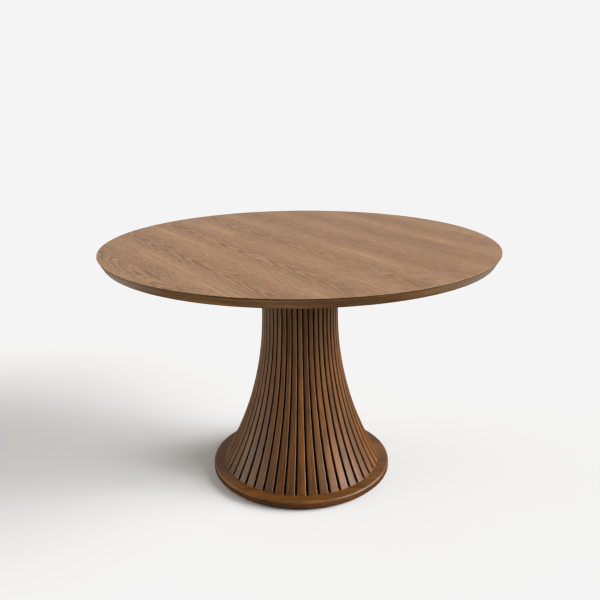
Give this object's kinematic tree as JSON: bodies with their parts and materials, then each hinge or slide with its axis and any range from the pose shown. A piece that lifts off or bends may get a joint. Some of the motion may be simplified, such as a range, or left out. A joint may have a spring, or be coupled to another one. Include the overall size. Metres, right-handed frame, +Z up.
{
  "type": "tilt top table",
  "caption": "Round veneered dining table whose top tips up on a flared drum pedestal of vertical wood slats, with a round plinth and a sprung catch.",
  "frame": {"origin": "middle of the footprint, on the floor", "axes": "+Z up; the front, where the catch's knob is, faces -Y; the pivot line runs along X behind the middle"},
  "size_m": [1.1998, 1.2, 0.755],
  "materials": {
    "walnut_veneer": "satin clear lacquer over crown-cut walnut veneer",
    "backing_veneer": "plain balancing veneer, sealed",
    "walnut_edge": "satin clear lacquer over solid walnut",
    "walnut_solid": "oiled solid walnut",
    "walnut_plinth": "satin clear lacquer over solid walnut",
    "walnut_slat": "semi-gloss clear lacquer over solid walnut",
    "plywood": "raw birch plywood",
    "dark_liner": "bent plywood stained dark",
    "painted_steel": "black powder coat",
    "zinc_steel": "zinc plated",
    "spring_steel": "drawn spring wire",
    "brass": "satin, lightly aged",
    "rubber": "matte",
    "foot_plastic": "matte black nylon"
  },
  "bodies": {
    "pedestal": {"plinth": "walnut_plinth", "ballast_plate": "painted_steel", "column": "painted_steel", "base_bolts": "zinc_steel", "block_bolts": "zinc_steel", "foot_inserts": "brass", "drum_liner": "dark_liner", "head_cap": "walnut_solid", "pivot_block": "walnut_solid", "rest_pads": "rubber", "thrust_washers": "brass", "pivot_bush_left": "brass", "pivot_bush_right": "brass", "keeper_plate": "brass", "keeper_screws": "brass", "former_1": "plywood", "former_2": "plywood", "former_3": "plywood", "slats_01": "walnut_slat", "slats_02": "walnut_slat", "slats_03": "walnut_slat", "slats_04": "walnut_slat", "slats_05": "walnut_slat", "slats_06": "walnut_slat", "slats_07": "walnut_slat", "slats_08": "walnut_slat", "slats_09": "walnut_slat", "slats_10": "walnut_slat", "slats_11": "walnut_slat", "slats_12": "walnut_slat", "slats_13": "walnut_slat", "slats_14": "walnut_slat", "slats_15": "walnut_slat", "slats_16": "walnut_slat", "slats_17": "walnut_slat", "slats_18": "walnut_slat", "slats_19": "walnut_slat", "slats_20": "walnut_slat", "slats_21": "walnut_slat", "slats_22": "walnut_slat", "slats_23": "walnut_slat"},
    "top": {"top_core": "plywood", "top_veneer": "walnut_veneer", "backing_veneer": "backing_veneer", "edge_lipping": "walnut_edge", "bearer_left": "walnut_solid", "bearer_right": "walnut_solid", "bearer_screws": "zinc_steel", "pivot_pin_left": "zinc_steel", "pivot_pin_right": "zinc_steel", "tilt_buffers": "rubber", "catch_case": "brass", "catch_case_screws": "brass", "catch_spring": "spring_steel"},
    "latch": {"catch_bolt": "brass", "catch_knob": "brass"},
    "levelling_foot_1": {"levelling_foot_1": "foot_plastic"},
    "levelling_foot_2": {"levelling_foot_2": "foot_plastic"},
    "levelling_foot_3": {"levelling_foot_3": "foot_plastic"},
    "levelling_foot_4": {"levelling_foot_4": "foot_plastic"}
  },
  "joints": [
    {"name": "top_tilt", "type": "hinge", "parent": "pedestal", "child": "top", "pos_m": [0, 0.1, 0.702], "axis": [-1, 0, 0], "range_deg": [0, 80]},
    {"name": "catch_slide", "type": "slide", "parent": "top", "child": "latch", "axis": [0, -1, 0], "range_m": [0, 0.012], "stiffness_N_per_m": 400, "springref_m": -0.012, "deforming": ["catch_spring"]},
    {"name": "levelling_foot_1_screw", "type": "slide", "parent": "pedestal", "child": "levelling_foot_1", "axis": [0, 0, -1], "range_m": [0, 0.008]},
    {"name": "levelling_foot_2_screw", "type": "slide", "parent": "pedestal", "child": "levelling_foot_2", "axis": [0, 0, -1], "range_m": [0, 0.008]},
    {"name": "levelling_foot_3_screw", "type": "slide", "parent": "pedestal", "child": "levelling_foot_3", "axis": [0, 0, -1], "range_m": [0, 0.008]},
    {"name": "levelling_foot_4_screw", "type": "slide", "parent": "pedestal", "child": "levelling_foot_4", "axis": [0, 0, -1], "range_m": [0, 0.008]}
  ]
}
